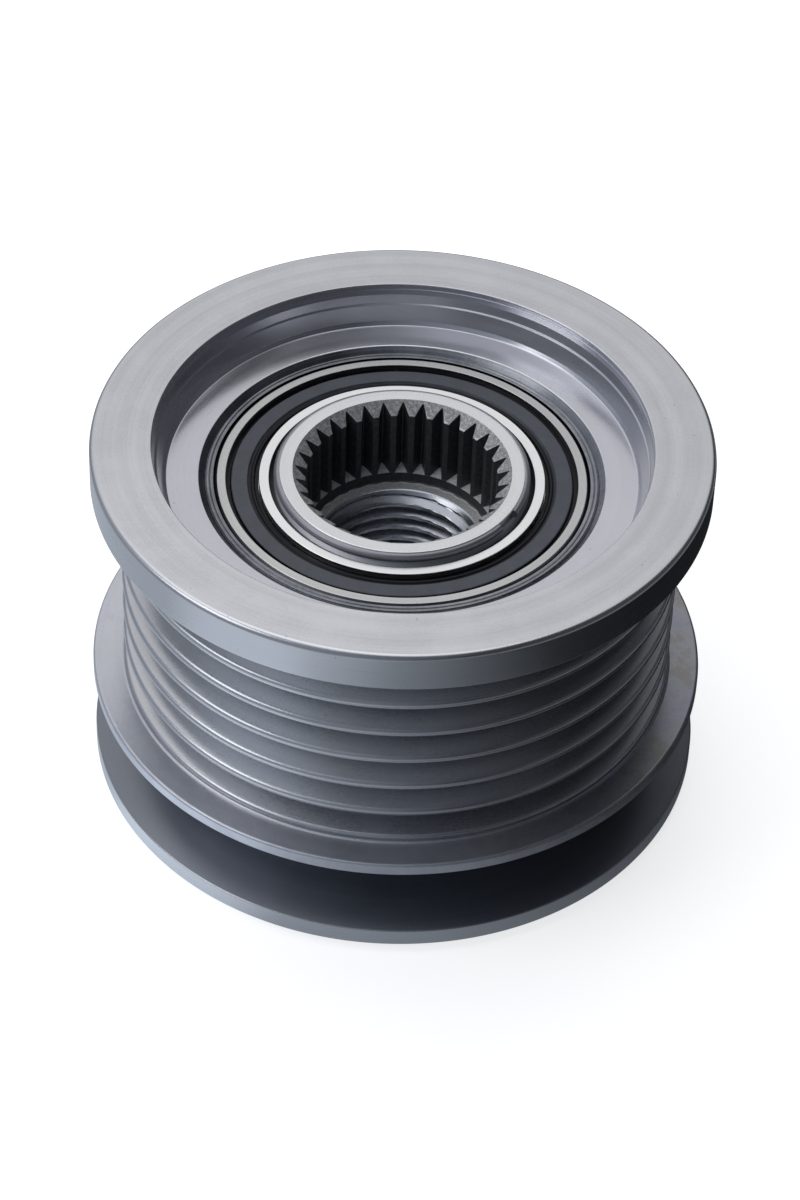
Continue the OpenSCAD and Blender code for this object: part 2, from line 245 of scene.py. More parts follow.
def make_mesh(name, verts, faces, sharp=sharp_edge):
    """A smooth mesh from places in millimetres, with its sharp edges kept."""
    mesh = bpy.data.meshes.new(name)
    mesh.from_pydata([(x * MM, y * MM, z * MM) for x, y, z in verts], [], faces)
    mesh.validate()
    mesh.polygons.foreach_set("use_smooth", [True] * len(mesh.polygons))
    mesh.set_sharp_from_angle(angle=sharp)
    piece = bpy.data.objects.new(name, mesh)
    bpy.context.scene.collection.objects.link(piece)
    return piece


def woven(name, rows, columns, sharp=sharp_edge):
    """A closed grid: rows of points run round the axis, and the last row joins the first."""
    verts = [p for row in rows for p in row]
    faces = []
    count = len(rows)
    for i in range(count):
        j = (i + 1) % count
        for k in range(columns):
            m = (k + 1) % columns
            faces.append((i * columns + k, i * columns + m, j * columns + m, j * columns + k))
    return make_mesh(name, verts, faces, sharp)


def turned(name, outline, segments=ring_segments):
    """A solid of revolution round the main axis."""
    rows = [
        [(p[0] * cos(tau * k / segments), p[0] * sin(tau * k / segments), p[1]) for k in range(segments)]
        for p in outline
    ]
    piece = woven(name, rows, segments)
    face_outwards(piece)
    return piece


def face_outwards(piece):
    """Joins doubled points and turns every face outwards."""
    bm = bmesh.new()
    bm.from_mesh(piece.data)
    bmesh.ops.remove_doubles(bm, verts=bm.verts, dist=1e-8)
    bmesh.ops.recalc_face_normals(bm, faces=bm.faces)
    bm.to_mesh(piece.data)
    bm.free()


# Shader building


class Nodes:
    """Short calls for laying out one node tree."""

    def __init__(self, tree):
        self.tree = tree

    def add(self, kind, **values):
        node = self.tree.nodes.new(kind)
        for key, value in values.items():
            setattr(node, key, value)
        return node

    def link(self, start, end):
        self.tree.links.new(start, end)

    def put(self, socket, value):
        if hasattr(value, "is_output"):
            self.link(value, socket)
        else:
            socket.default_value = value

    def math(self, operation, a, b=None, c=None, clamp=False):
        node = self.add("ShaderNodeMath", operation=operation, use_clamp=clamp)
        for socket, value in zip(node.inputs, (a, b, c)):
            if value is not None:
                self.put(socket, value)
        return node.outputs[0]

    def noise(self, vector, scale=1.0, detail=2.0, rough=0.5):
        node = self.add("ShaderNodeTexNoise")
        self.link(vector, node.inputs["Vector"])
        self.put(node.inputs["Scale"], scale)
        node.inputs["Detail"].default_value = detail
        node.inputs["Roughness"].default_value = rough
        return node.outputs["Fac"]

    def span(self, value, low, high, to_low=0.0, to_high=1.0):
        node = self.add("ShaderNodeMapRange", interpolation_type="SMOOTHSTEP")
        for socket, given in zip(node.inputs, (value, low, high, to_low, to_high)):
            self.put(socket, given)
        return node.outputs[0]

    def blend(self, factor, a, b, mode="MIX"):
        node = self.add("ShaderNodeMix", data_type="RGBA", blend_type=mode)
        self.put(node.inputs["Factor"], factor)
        self.put(node.inputs["A"], a)
        self.put(node.inputs["B"], b)
        return node.outputs["Result"]

    def ramp(self, place, stops):
        node = self.add("ShaderNodeValToRGB")
        elements = node.color_ramp.elements
        while len(elements) < len(stops):
            elements.new(0.5)
        for element, (spot, colour) in zip(elements, stops):
            element.position = spot
            element.color = colour
        self.link(place, node.inputs[0])
        return node.outputs[0]

    def vector(self, x, y, z):
        node = self.add("ShaderNodeCombineXYZ")
        for socket, value in zip(node.inputs, (x, y, z)):
            self.put(socket, value)
        return node.outputs[0]


def millimetres(n):
    """The place on the piece, in millimetres, for noise of a true size."""
    scale = n.add("ShaderNodeVectorMath", operation="SCALE")
    n.link(n.add("ShaderNodeTexCoord").outputs["Object"], scale.inputs[0])
    scale.inputs["Scale"].default_value = 1 / MM
    return scale.outputs[0]


def new_group(name, inputs, outputs):
    """A node group with named sockets: inputs are label, kind and value, outputs are label and kind."""
    tree = bpy.data.node_groups.new(name, "ShaderNodeTree")
    for label, kind, value in inputs:
        socket = tree.interface.new_socket(label, in_out="INPUT", socket_type=kind)
        socket.default_value = value
    for label, kind in outputs:
        tree.interface.new_socket(label, in_out="OUTPUT", socket_type=kind)
    n = Nodes(tree)
    return tree, n, n.add("NodeGroupInput"), n.add("NodeGroupOutput")


def use(n, tree, **values):
    """Places a node group in a tree and gives its outputs. A word's underscore stands for a space."""
    node = n.add("ShaderNodeGroup")
    node.node_tree = tree
    for label, value in values.items():
        n.put(node.inputs[label.replace("_", " ")], value)
    return node.outputs


def ring_place_group():
    """Where a point lies on a turned piece: its radius, height and direction, in millimetres."""
    tree, n, _, out = new_group(
        "ring place",
        [],
        [(label, "NodeSocketFloat") for label in ("Radius", "Height", "East", "North")],
    )
    split = n.add("ShaderNodeSeparateXYZ")
    n.link(n.add("ShaderNodeTexCoord").outputs["Object"], split.inputs[0])
    x = n.math("MULTIPLY", split.outputs[0], 1 / MM)
    y = n.math("MULTIPLY", split.outputs[1], 1 / MM)
    radius = n.math("SQRT", n.math("ADD", n.math("MULTIPLY", x, x), n.math("MULTIPLY", y, y)))
    safe = n.math("MAXIMUM", radius, 0.01)
    n.link(radius, out.inputs["Radius"])
    n.link(n.math("MULTIPLY", split.outputs[2], 1 / MM), out.inputs["Height"])
    n.link(n.math("DIVIDE", x, safe), out.inputs["East"])
    n.link(n.math("DIVIDE", y, safe), out.inputs["North"])
    return tree


def lathe_marks_group(place):
    """Fine rings left by a cutting tool, and broader bands of feed. Rings is their number per millimetre."""
    tree, n, given, out = new_group(
        "lathe marks",
        [("Rings", "NodeSocketFloat", 9.0), ("Wander", "NodeSocketFloat", 0.35)],
        [("Fine", "NodeSocketFloat"), ("Bands", "NodeSocketFloat"), ("Height", "NodeSocketFloat")],
    )
    at = use(n, place)
    along = n.math("ADD", at["Radius"], n.math("MULTIPLY", at["Height"], 0.83))
    east = n.math("MULTIPLY", at["East"], given.outputs["Wander"])
    north = n.math("MULTIPLY", at["North"], given.outputs["Wander"])
    rings = given.outputs["Rings"]
    fine_at = n.vector(n.math("MULTIPLY", along, rings), east, north)
    band_at = n.vector(n.math("MULTIPLY", along, n.math("MULTIPLY", rings, 0.16)), east, north)
    fine = n.noise(fine_at, 1.0, 2.0, 0.6)
    bands = n.noise(band_at, 1.0, 2.0, 0.5)
    n.link(n.span(fine, 0.3, 0.7), out.inputs["Fine"])
    n.link(n.span(bands, 0.32, 0.68), out.inputs["Bands"])
    n.link(n.math("ADD", n.math("MULTIPLY", fine, 0.7), n.math("MULTIPLY", bands, 0.5)), out.inputs["Height"])
    return tree


def handling_group(place):
    """Marks of handling: soft smudges, short scratches and small specks."""
    tree, n, given, out = new_group(
        "handling marks",
        [("Smudge size", "NodeSocketFloat", 0.16), ("Speck size", "NodeSocketFloat", 1.1)],
        [(label, "NodeSocketFloat") for label in ("Smudge", "Scratch", "Speck", "Grain")],
    )
    place_mm = millimetres(n)
    smudge = n.noise(place_mm, given.outputs["Smudge size"], 4.0, 0.6)
    at = use(n, place)
    stretched = n.vector(
        n.math("MULTIPLY", at["Radius"], 6.0),
        n.math("MULTIPLY", at["East"], 4.0),
        n.math("ADD", n.math("MULTIPLY", at["North"], 4.0), n.math("MULTIPLY", at["Height"], 6.0)),
    )
    scratch = n.span(n.noise(stretched, 1.0, 1.0, 0.4), 0.70, 0.78)
    cells = n.add("ShaderNodeTexVoronoi", feature="F1")
    n.link(place_mm, cells.inputs["Vector"])
    n.link(given.outputs["Speck size"], cells.inputs["Scale"])
    picked = n.add("ShaderNodeSeparateColor")
    n.link(cells.outputs["Color"], picked.inputs[0])
    rare = n.math("GREATER_THAN", picked.outputs[0], 0.93)
    dot = n.span(cells.outputs["Distance"], 0.05, 0.13, 1.0, 0.0)
    grain = n.noise(place_mm, 2.4, 3.0, 0.7)
    n.link(n.span(grain, 0.3, 0.7), out.inputs["Grain"])
    n.link(n.span(smudge, 0.35, 0.7), out.inputs["Smudge"])
    n.link(scratch, out.inputs["Scratch"])
    n.link(n.math("MULTIPLY", rare, dot), out.inputs["Speck"])
    return tree


def grain_group():
    """Lumps and pits of forged, broached and moulded surfaces. Fineness is in lumps per millimetre."""
    tree, n, given, out = new_group(
        "surface grain",
        [("Fineness", "NodeSocketFloat", 2.6)],
        [("Lumps", "NodeSocketFloat"), ("Pits", "NodeSocketFloat"), ("Height", "NodeSocketFloat")],
    )
    place_mm = millimetres(n)
    lumps = n.noise(place_mm, given.outputs["Fineness"], 4.0, 0.65)
    pits = n.noise(place_mm, n.math("MULTIPLY", given.outputs["Fineness"], 4), 3.0, 0.6)
    n.link(n.span(lumps, 0.3, 0.7), out.inputs["Lumps"])
    n.link(n.span(pits, 0.3, 0.7), out.inputs["Pits"])
    n.link(n.math("ADD", lumps, n.math("MULTIPLY", pits, 0.5)), out.inputs["Height"])
    return tree


place_group = ring_place_group()
lathe_group = lathe_marks_group(place_group)
marks_group = handling_group(place_group)
rough_group = grain_group()


def new_material(name, metallic):
    """An empty material with its Principled shader linked up."""
    material = bpy.data.materials.new(name)
    material.use_nodes = True
    material.node_tree.nodes.clear()
    n = Nodes(material.node_tree)
    shader = n.add("ShaderNodeBsdfPrincipled")
    shader.inputs["Metallic"].default_value = metallic
    n.output = n.add("ShaderNodeOutputMaterial")
    n.link(shader.outputs[0], n.output.inputs["Surface"])
    return material, n, shader


def bump(n, shader, height, strength, distance):
    """Relief from a height value. The distance is in millimetres."""
    node = n.add("ShaderNodeBump")
    node.inputs["Strength"].default_value = strength
    node.inputs["Distance"].default_value = distance * MM
    n.link(height, node.inputs["Height"])
    n.link(node.outputs[0], shader.inputs["Normal"])


# Colours of stains, dirt and dust, and the dark steel of the flange's painted shade
PAINTED_SHADE_STEEL = (0.235, 0.24, 0.26, 1)
STRAW = (0.21, 0.185, 0.145, 1)
VIOLET = (0.22, 0.23, 0.31, 1)
DIRT = (0.09, 0.09, 0.10, 1)
DUST = (0.16, 0.16, 0.17, 1)


def steel(name, light, dark, rough, rings=9.0, groove=0.0015, specks=1.0, tint=None, metal=1.0):
    """Turned or ground steel. Tool rings and handling marks change its colour, gloss and height."""
    material, n, shader = new_material(name, metal)
    rings_out = use(n, lathe_group, Rings=rings)
    marks = use(n, marks_group)
    bands = n.math("MULTIPLY", rings_out["Bands"], 0.3)
    shade = n.math("ADD", bands, n.math("MULTIPLY", rings_out["Fine"], 0.18))
    shade = n.math("ADD", shade, n.math("MULTIPLY", marks["Smudge"], 0.24))
    shade = n.math("ADD", shade, n.math("MULTIPLY", marks["Grain"], 0.14))
    colour = n.blend(shade, dark, light)
    if tint:
        colour = tint(n, colour)
    dirt = n.math("MULTIPLY", marks["Speck"], 0.5 * specks)
    dirt = n.math("ADD", dirt, n.math("MULTIPLY", marks["Scratch"], 0.10), clamp=True)
    colour = n.blend(dirt, colour, DIRT)
    n.link(colour, shader.inputs["Base Color"])
    gloss = n.math("ADD", rough, n.math("MULTIPLY", marks["Smudge"], 0.04))
    gloss = n.math("ADD", gloss, n.math("MULTIPLY", rings_out["Fine"], 0.02))
    n.link(n.math("ADD", gloss, n.math("MULTIPLY", marks["Scratch"], 0.02)), shader.inputs["Roughness"])
    height = n.math("SUBTRACT", rings_out["Height"], n.math("MULTIPLY", marks["Scratch"], 0.15))
    bump(n, shader, height, 0.35, groove)
    return material


def heat_tint_and_side_shade(n, colour):
    """Faint straw and violet stains, mostly on the right of the middle flange, and painted shade that darkens
    the flange's right side.
    """
    at = use(n, place_group)
    side = n.span(at["East"], 0.1, 0.9)
    place_mm = millimetres(n)
    cloud = n.noise(place_mm, 0.28, 2.0, 0.5)
    mottle = n.noise(place_mm, 1.3, 5.0, 0.7)
    patch = n.math("ADD", n.math("MULTIPLY", cloud, 0.6), n.math("MULTIPLY", mottle, 0.4))
    straw_side = n.math("ADD", n.math("MULTIPLY", side, 0.42), 0.06)
    straw = n.math("MULTIPLY", n.span(patch, 0.47, 0.60), straw_side)
    violet_side = n.math("ADD", n.math("MULTIPLY", side, 0.34), 0.14)
    violet = n.math("MULTIPLY", n.span(patch, 0.54, 0.40), violet_side)
    # Painted shade: the flange's right (east) side is blended toward dark steel, where less light falls.
    colour = n.blend(n.math("MULTIPLY", side, 0.75), colour, PAINTED_SHADE_STEEL)
    colour = n.blend(straw, colour, STRAW)
    return n.blend(violet, colour, VIOLET)


def forged(name, light, dark, rough, grain=2.6, height=0.05, metal=1.0):
    """Rough grey steel as it left the forging die or broach. The rougher it is, the more it looks matt."""
    material, n, shader = new_material(name, metal)
    skin = use(n, rough_group, Fineness=grain)
    shade = n.math("MULTIPLY", skin["Lumps"], skin["Pits"])
    n.link(n.blend(shade, dark, light), shader.inputs["Base Color"])
    n.link(n.math("ADD", rough, n.math("MULTIPLY", skin["Pits"], 0.12)), shader.inputs["Roughness"])
    bump(n, shader, skin["Height"], 0.7, height)
    return material


def seal_rubber(name, light, dark, gloss):
    """Slate-grey moulded rubber with a soft bloom and a faint grain."""
    material, n, shader = new_material(name, 0.0)
    shader.inputs["Specular IOR Level"].default_value = gloss
    marks = use(n, marks_group, Smudge_size=0.5)
    skin = use(n, rough_group, Fineness=4.0)
    colour = n.blend(marks["Smudge"], dark, light)
    colour = n.blend(n.math("MULTIPLY", marks["Speck"], 0.4), colour, DUST)
    n.link(colour, shader.inputs["Base Color"])
    n.link(n.math("ADD", 0.34, n.math("MULTIPLY", marks["Smudge"], 0.14)), shader.inputs["Roughness"])
    bump(n, shader, skin["Height"], 0.35, 0.008)
    return material


def moulded_plastic(name, light, dark):
    """Moulded cage plastic with glass-fibre flecks."""
    material, n, shader = new_material(name, 0.0)
    skin = use(n, rough_group, Fineness=3.0)
    n.link(n.blend(skin["Lumps"], dark, light), shader.inputs["Base Color"])
    n.link(n.math("ADD", 0.42, n.math("MULTIPLY", skin["Pits"], 0.15)), shader.inputs["Roughness"])
    bump(n, shader, skin["Height"], 0.3, 0.015)
    return material


mat_pulley = steel(
    "turned pulley steel", light=(0.575, 0.577, 0.594, 1), dark=(0.525, 0.528, 0.547, 1),
    rough=0.25, rings=5.0, groove=0.0005,
)
mat_rib = steel(
    "turned rib steel", light=(0.62, 0.622, 0.642, 1), dark=(0.47, 0.473, 0.492, 1),
    rough=0.25, rings=5.0, groove=0.0012,
)
mat_recess = steel(
    "smooth recess steel", light=(0.60, 0.602, 0.638, 1), dark=(0.55, 0.553, 0.59, 1),
    rough=0.18, rings=5.0, groove=0.0003, metal=0.85,
)
# Its tint adds real stains and also darkens the flange's right side with painted shade.
mat_flange = steel(
    "stained flange steel with painted shade", light=(0.62, 0.632, 0.672, 1), dark=(0.54, 0.55, 0.59, 1),
    rough=0.32, rings=5.0, groove=0.0006, tint=heat_tint_and_side_shade, metal=0.78,
)
# Painted shade: the rear groove under the mid flange gets far darker steel than the rest of the pulley; its
# blue tint is the plating.
mat_groove_shade = steel(
    "blued groove steel painted dark for shade", light=(0.25, 0.262, 0.293, 1), dark=(0.20, 0.21, 0.237, 1),
    rough=0.34, rings=4.0, specks=0.3,
)
mat_lip = steel(
    "staked lip steel", light=(0.42, 0.43, 0.46, 1), dark=(0.10, 0.105, 0.12, 1),
    rough=0.26, rings=5.0, groove=0.004, specks=1.6,
)
mat_ground = steel(
    "ground bearing steel", light=(0.85, 0.85, 0.845, 1), dark=(0.78, 0.78, 0.78, 1),
    rough=0.2, rings=14.0, specks=0.4,
)
# Painted shade: dark steel on the bearing bevels for the shaded gaps beside the rings, on top of their real
# duller finish.
mat_bevel_gap_shade = steel(
    "unground bevel steel with painted gap shade", light=(0.13, 0.13, 0.135, 1), dark=(0.07, 0.07, 0.074, 1),
    rough=0.35, rings=12.0,
)
mat_race = steel(
    "dull bearing steel", light=(0.56, 0.557, 0.55, 1), dark=(0.44, 0.438, 0.435, 1),
    rough=0.24, rings=12.0,
)
mat_nose = steel(
    "faced hub steel", light=(0.71, 0.712, 0.722, 1), dark=(0.64, 0.643, 0.655, 1),
    rough=0.24, rings=10.0,
)
mat_thread = steel(
    "cut thread steel", light=(0.54, 0.555, 0.59, 1), dark=(0.44, 0.45, 0.48, 1),
    rough=0.23, rings=6.0, specks=0.3,
)
# Painted shade: very dark steel on the socket's spline walls and the bore below the teeth, for the shade
# inside the hub.
mat_spline_shade = forged(
    "broached spline steel painted dark for shade", light=(0.15, 0.15, 0.15, 1), dark=(0.075, 0.076, 0.076, 1),
    rough=0.42, height=0.015, metal=0.6,
)
mat_bare = forged(
    "bare forged steel", light=(0.86, 0.86, 0.85, 1), dark=(0.27, 0.27, 0.27, 1),
    rough=0.48, grain=2.6, height=0.06, metal=0.4,
)
mat_ledge = forged(
    "broached ledge steel", light=(0.92, 0.92, 0.90, 1), dark=(0.50, 0.50, 0.49, 1),
    rough=0.5, grain=3.4, height=0.04, metal=0.15,
)
# Painted highlight: near-white steel on a thin strip at the foot of the mouth's bevel, for the sheen on the
# burr edges.
mat_burr_highlight = forged(
    "burr steel with painted highlight", light=(0.95, 0.95, 0.93, 1), dark=(0.45, 0.45, 0.44, 1),
    rough=0.35, grain=4.0, height=0.02, metal=0.5,
)
mat_flank = steel(
    "dull nose flank steel", light=(0.53, 0.535, 0.56, 1), dark=(0.43, 0.435, 0.46, 1),
    rough=0.46, rings=5.0,
)
mat_wire = steel(
    "drawn wire steel", light=(0.36, 0.365, 0.39, 1), dark=(0.28, 0.285, 0.305, 1),
    rough=0.44, rings=3.0,
)
mat_ball = steel(
    "polished ball steel", light=(0.80, 0.80, 0.81, 1), dark=(0.74, 0.74, 0.75, 1),
    rough=0.07, specks=0.1,
)
mat_hardened = steel(
    "hardened clutch steel", light=(0.60, 0.60, 0.60, 1), dark=(0.48, 0.48, 0.49, 1),
    rough=0.2, rings=10.0,
)
mat_seal = seal_rubber(
    "seal rubber", light=(0.078, 0.084, 0.108, 1), dark=(0.052, 0.057, 0.075, 1),
    gloss=0.5,
)
# Painted shade: near-black rubber on the seal's sunk edges, for the shade in the ring's mouth.
mat_seal_edge_shade = seal_rubber(
    "seal edge painted shade", light=(0.012, 0.012, 0.014, 1), dark=(0.006, 0.006, 0.007, 1),
    gloss=0.2,
)
mat_cage = moulded_plastic(
    "moulded cage plastic", light=(0.30, 0.19, 0.09, 1), dark=(0.18, 0.11, 0.05, 1),
)


def finish_piece(piece, body, slot, finishes, *nodes):
    """Gives a piece its materials and its body, and hides the imported nodes that it replaces. The slot is
    not used.
    """
    for material in finishes.values():
        piece.data.materials.append(material)
    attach(piece, body)
    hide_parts(*nodes)


def paint(piece, finishes, choose):
    """Gives each face the finish that choose names for its middle's radius and height, in millimetres."""
    names = list(finishes)
    for face in piece.data.polygons:
        c = face.center
        face.material_index = names.index(choose(hypot(c.x, c.y) / MM, c.z / MM))


# The pulley, with the heights of its parts

rear_groove_z = pulley_z + rear_flange_t
mid_flange_z = rear_groove_z + rear_groove_w
ribs_z = mid_flange_z + mid_flange_t
ribs_end_z = ribs_z + groove_count * rib_pitch + crest_flat
rim_side_z = ribs_end_z + rim_slope_h


def pulley_outline():
    """The pulley's section, from the rear flange up to the rim, down the recess and back along the bore."""
    mouth = rib_pitch - crest_flat
    wall_in = (rear_flange_r - rear_groove_r) * tan(rear_groove_slope)
    wall_groove_top = rim_z - wall_groove_h
    step_foot_z = rim_z - recess_wall_h - recess_step
    recess_floor_z = front_face_z + floor_rise
    points = [
        (rear_flange_r, pulley_z, 0.35),
        (rear_flange_r, rear_groove_z, 0.2),
        (rear_groove_r, rear_groove_z + wall_in, 0.8),
        (rear_groove_r, mid_flange_z - wall_in, 0.8),
        (mid_flange_r, mid_flange_z, 0.2),
        (mid_flange_r, ribs_z, 0.3),
        (crest_r + 0.25, ribs_z, soft_corner),
        (crest_r, ribs_z + soft_corner, soft_corner),
    ]
    groove_floor_half = mouth / 2 - groove_depth * tan(groove_half_angle)
    for i in range(groove_count):
        middle = ribs_z + crest_flat + mouth / 2 + i * rib_pitch
        points += [
            (crest_r, middle - mouth / 2, crest_round),
            (crest_r - groove_depth, middle - groove_floor_half, root_round),
            (crest_r - groove_depth, middle + groove_floor_half, root_round),
            (crest_r, middle + mouth / 2, crest_round),
        ]
    points += [
        (crest_r, ribs_end_z, 0.3),
        (rim_r, rim_side_z, 0.2),
        (rim_r, rim_z, rim_bevel),
        (recess_r, rim_z, soft_corner),
        (recess_r, wall_groove_top, fine_corner),
        (recess_r + wall_groove_depth, wall_groove_top - wall_groove_side, fine_corner),
        (recess_r + wall_groove_depth, wall_groove_top - wall_groove_w + wall_groove_side, fine_corner),
        (recess_r, wall_groove_top - wall_groove_w, fine_corner),
        (recess_r, rim_z - recess_bend_h, 0.06),
        (recess_r - recess_step * 0.45, step_foot_z + 0.12, 0.08),
        (recess_r - recess_step * 0.72, step_foot_z, 0.08),
        (recess_foot_r + 0.14, recess_floor_z + 0.42, 0.2),
        (recess_foot_r - 0.15, recess_floor_z + 0.02, 0.25),
        (floor_inner_r, front_face_z + floor_rise * 0.95, 0.3),
        (lip_r + lip_w, front_face_z - channel_depth, 0.08),
        (lip_r + lip_w, front_face_z, 0.08),
        (lip_groove_r + lip_groove_w / 2, front_face_z, lip_groove_corner),
        (lip_groove_r, front_face_z - lip_groove_depth, lip_groove_corner),
        (lip_groove_r - lip_groove_w / 2, front_face_z, lip_groove_corner),
        (lip_r, front_face_z, 0.05),
        (bearing_r, front_face_z - ring_bevel + stake_w),
        (bearing_r, front_bearing_z),
        (sleeve_r, front_bearing_z),
        (sleeve_r, sleeve_z),
        (shoulder_r, sleeve_z),
        (shoulder_r, rear_shoulder_z),
        (bearing_r, rear_shoulder_z),
        (bearing_r, rear_bearing_z + ring_bevel - stake_w),
        (lip_r, rear_bearing_z, 0.05),
        (lip_r + lip_w, rear_bearing_z, 0.08),
        (lip_r + lip_w, rear_bearing_z + channel_depth, 0.08),
        (floor_inner_r, rear_bearing_z - floor_rise, 0.3),
        (rear_recess_r, rear_bearing_z - floor_rise, 0.3),
        (rear_recess_r, pulley_z, 0.3),
    ]
    return rounded(points)


PULLEY_FINISHES = {
    "plain": mat_pulley,
    "flange": mat_flange,
    "lip": mat_lip,
    "groove": mat_groove_shade,
    "recess": mat_recess,
    "rib": mat_rib,
}


def pulley_paint(r, z):
    """The finish of the pulley's surface at radius r and height z."""
    near = 0.1
    # The groove's dark finish is painted shade.
    if rear_recess_r + 1 < r < rear_flange_r - near and rear_groove_z - near < z < mid_flange_z + near:
        return "groove"
    if r > crest_r + near and mid_flange_z - near < z < ribs_z + 2 * near:
        return "flange"
    if lip_r - 0.2 < r < floor_inner_r and (z > front_face_z - 0.6 or z < rear_bearing_z + 0.6):
        return "lip"
    if floor_inner_r < r < recess_r + 0.2 and front_face_z < z < rim_z - 0.02:
        return "recess"
    if crest_r - groove_depth - near < r < crest_r + 0.05 and z > mid_flange_z:
        return "rib"
    return "plain"


pulley = turned("pulley", pulley_outline(), pulley_segments)
paint(pulley, PULLEY_FINISHES, pulley_paint)
finish_piece(pulley, "pulley_set", "pulley_steel", PULLEY_FINISHES, "pulley_body")


# The bearings


def flipped(outline):
    """The same outline on the bearing's other side."""
    return [(p[0], bearing_w - p[1], *p[2:]) for p in reversed(outline)]


def placed(outline, z):
    """The outline lifted to height z."""
    return [(p[0], p[1] + z) for p in outline]


def outer_ring_outline():
    """The outer ring, with a seal mouth at each end and the ball track between."""
    edge = seal_inset + seal_t
    half = [
        (bearing_r, bearing_w - ring_bevel, 0.1),
        (bearing_r - ring_bevel, bearing_w, 0.1),
        (seal_mouth_r, bearing_w, 0.06),
        (seal_mouth_r, bearing_w - edge + seal_edge_t),
        (seal_mouth_r + seal_snap, bearing_w - edge + seal_edge_t),
        (seal_mouth_r + seal_snap, bearing_w - edge),
        (outer_shoulder_r, bearing_w - edge),
    ]
    lift = asin((outer_shoulder_r - ball_orbit_r) / race_r)
    middle = (ball_orbit_r, bearing_w / 2)
    track = arc(middle, race_r, 90 - degrees(lift), degrees(lift) - 90, track_steps)
    return half + track + flipped(half)


def inner_ring_outline():
    """The inner ring, with a land for each seal's lip and the ball track between."""
    edge = seal_inset + seal_t + lip_gap
    half = [
        (inner_shoulder_r, bearing_w - edge),
        (seal_land_r, bearing_w - edge),
        (seal_land_r, bearing_w, 0.06),
        (bore_r + ring_bevel, bearing_w, 0.1),
        (bore_r, bearing_w - ring_bevel, 0.1),
    ]
    lift = asin((ball_orbit_r - inner_shoulder_r) / race_r)
    middle = (ball_orbit_r, bearing_w / 2)
    track = arc(middle, race_r, 270 - degrees(lift), 90 + degrees(lift), track_steps)
    return half + flipped(half) + track


def seal_outline():
    """The seal, snapped in the outer ring. Its face steps down to a lip beside the inner ring."""
    face = bearing_w - seal_inset
    back = face - seal_t
    edge_r = seal_mouth_r + seal_snap - lip_gap
    land = seal_land_r + lip_gap
    return [
        (edge_r, back + lip_gap, 0.05),
        (edge_r, back + seal_edge_t - lip_gap, 0.05),
        (seal_face_r + 0.12, back + seal_edge_t, 0.08),
        (seal_face_r, face, 0.16),
        (seal_step_r + 0.15, face, 0.12),
        (seal_step_r, face - seal_dip, 0.06),
        (seal_step_r - 0.18, face - seal_dip, 0.06),
        (seal_step_r - 0.3, face - seal_bead_drop, 0.08),
        (seal_step_r - 0.48, face - seal_bead_drop, 0.08),
        (seal_step_r - 0.6, back + seal_edge_t, 0.06),
        (land, back + seal_edge_t, 0.05),
        (land, back + lip_gap, 0.05),
    ]


RACE_FINISHES = {"plain": mat_race, "bevel": mat_bevel_gap_shade}
CONE_FINISHES = {"ground": mat_ground, "bevel": mat_bevel_gap_shade}
SEAL_FINISHES = {"face": mat_seal, "edge": mat_seal_edge_shade}


def race_paint(r, z):
    """The outer ring's rim and bevels are painted dark: partly the duller unground steel, partly painted
    shade of the gap beside them.
    """
    return "bevel" if r > bearing_r - ring_bevel + 0.06 else "plain"


def cone_paint(r, z):
    """The inner ring's faces are ground, and its bevels are painted dark: partly unground steel, partly
    painted shade of the gap at the bore.
    """
    return "bevel" if r < bore_r + ring_bevel - 0.02 else "ground"


def seal_paint(r, z):
    """The seal's flat face is bloomed, and its sunk edges are painted near-black as painted shade."""
    return "face" if seal_step_r - 0.02 < r < seal_face_r + 0.02 else "edge"


def make_bearing(side, foot):
    """One sealed ball bearing. Its outer ring and seals turn with the pulley."""
    race = turned(side + "_bearing_race", placed(rounded(outer_ring_outline()), foot))
    paint(race, RACE_FINISHES, race_paint)
    finish_piece(race, "pulley_set", "bearing_steel", RACE_FINISHES, side + "_outer_ring")
    cone = turned(side + "_bearing_cone", placed(rounded(inner_ring_outline()), foot))
    paint(cone, CONE_FINISHES, cone_paint)
    finish_piece(cone, "hub_set", "bearing_steel", CONE_FINISHES, side + "_inner_ring")
    for place in ("outer", "inner"):
        faces_front = (side == "front") == (place == "outer")
        outline = seal_outline() if faces_front else flipped(seal_outline())
        seal = turned(f"{side}_{place}_seal_ring", placed(rounded(outline), foot))
        paint(seal, SEAL_FINISHES, seal_paint)
        finish_piece(seal, "pulley_set", "seal_rubber", SEAL_FINISHES, f"{side}_{place}_seal")


make_bearing("front", front_bearing_z)
make_bearing("rear", rear_bearing_z)


# The hub, as rows of points round the axis. Each row has a radius for each direction.

spline_z = nose_z - spline_len
relief_z = spline_z - relief_len
lead_in_z = relief_z - (lead_in_r - thread_minor_r)
tooth_pitch = tau / spline_teeth
root_half = asin(root_flat / 2 / spline_root_r)
tip_start = tooth_pitch / 2 - asin(tip_flat / 2 / spline_tip_r)
mouth_slope = (spline_mouth_r - spline_tip_r) / spline_mouth_h


def spline_radius(a):
    """Radius of the socket's wall in direction a, between the teeth and on their tips."""
    off = abs((a - spline_turn + tooth_pitch / 2) % tooth_pitch - tooth_pitch / 2)
    if off <= root_half:
        return spline_root_r
    if off >= tip_start:
        return spline_tip_r
    share = (off - root_half) / (tip_start - root_half)
    return spline_root_r + (spline_tip_r - spline_root_r) * share


